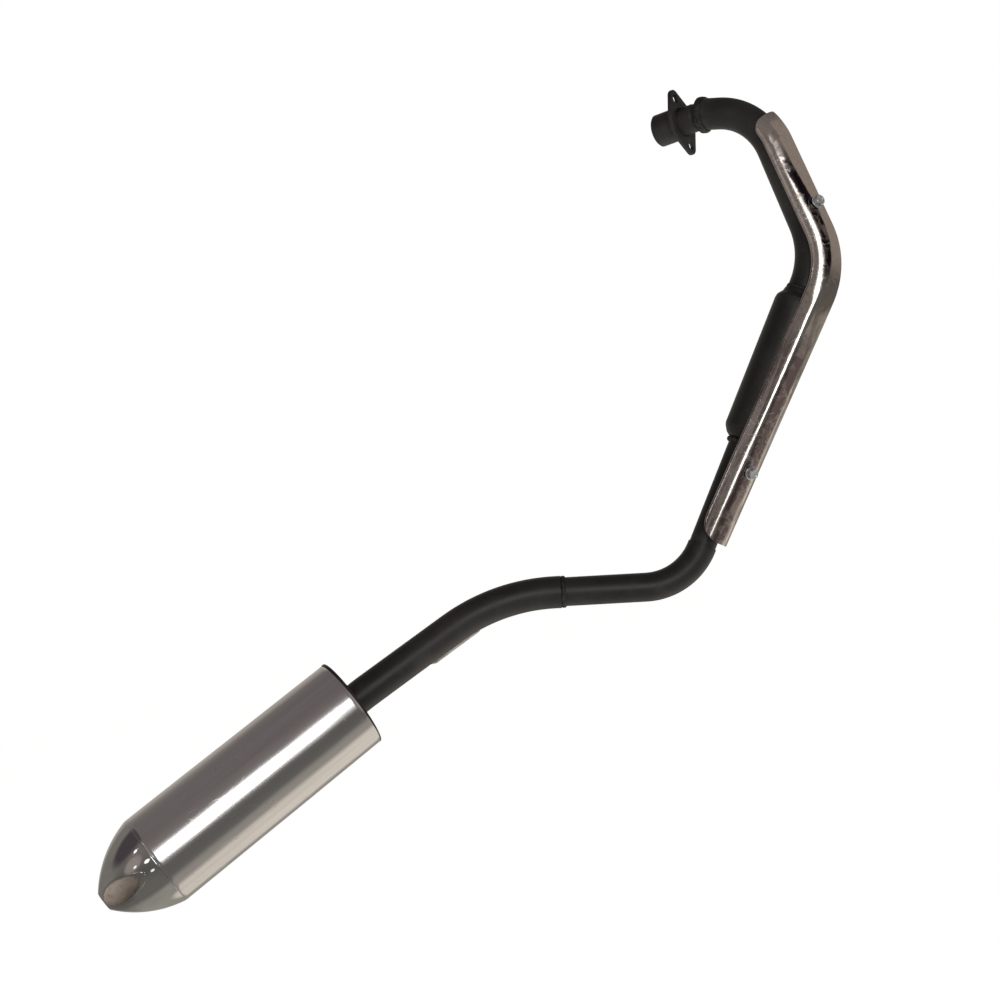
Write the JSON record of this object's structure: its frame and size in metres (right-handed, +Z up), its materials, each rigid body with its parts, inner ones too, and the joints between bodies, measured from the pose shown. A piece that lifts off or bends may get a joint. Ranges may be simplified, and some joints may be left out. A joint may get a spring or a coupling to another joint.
{
  "type": "racing exhaust system",
  "caption": "Looped steel exhaust for a small single-cylinder racing engine, with a loose head flange, a heat-shielded chamber and a round silencer with a bullet end.",
  "frame": {"origin": "middle of the cylinder head's exhaust port, in the plane of the head's face, 2 mm in front of the flange's plate", "axes": "-X along the port into the head, +Z up, -Y outboard, the side that the pipe and its heat shield show; the header leaves along +X and the silencer ends at -X, -Y, -Z"},
  "size_m": [0.6016, 0.5699, 0.6645],
  "materials": {
    "black_steel": "satin black heat paint on steel, worn at edges and welds",
    "chrome": "polished and plated sheet, lightly scratched",
    "aluminium": "polished sheet with fine scratches",
    "zinc": "zinc-plated fasteners",
    "raw_steel": "bare steel, heat tinted and stained",
    "glass_wool": "packed glass fibre"
  },
  "bodies": {
    "exhaust": {"port_spigot": "black_steel", "header_weld": "black_steel", "header_pipe": "black_steel", "chamber_upper_weld": "black_steel", "chamber_upper_end": "black_steel", "chamber_shell": "black_steel", "chamber_core": "raw_steel", "chamber_baffle": "raw_steel", "chamber_lower_end": "black_steel", "chamber_lower_weld": "black_steel", "chamber_outlet_pipe": "black_steel", "mid_pipe": "black_steel", "tail_joint_weld": "black_steel", "tail_pipe": "black_steel", "hanger_bracket": "raw_steel", "hanger_weld": "black_steel", "heat_shield": "chrome", "shield_boss_upper": "black_steel", "shield_boss_lower": "black_steel", "shield_washer_upper": "zinc", "shield_washer_lower": "zinc", "shield_screw_upper": "zinc", "shield_screw_lower": "zinc", "silencer_inlet_cap": "black_steel", "inlet_weld": "black_steel", "silencer_sleeve": "aluminium", "silencer_core": "raw_steel", "silencer_packing": "glass_wool", "outlet_baffle": "raw_steel", "tail_cone": "chrome", "outlet_tube": "raw_steel"},
    "flange": {"head_flange": "black_steel"}
  },
  "joints": [
    {"name": "flange_turn", "type": "hinge", "parent": "exhaust", "child": "flange", "pos_m": [0, 0, 0], "axis": [1, 0, 0], "continuous": true}
  ]
}
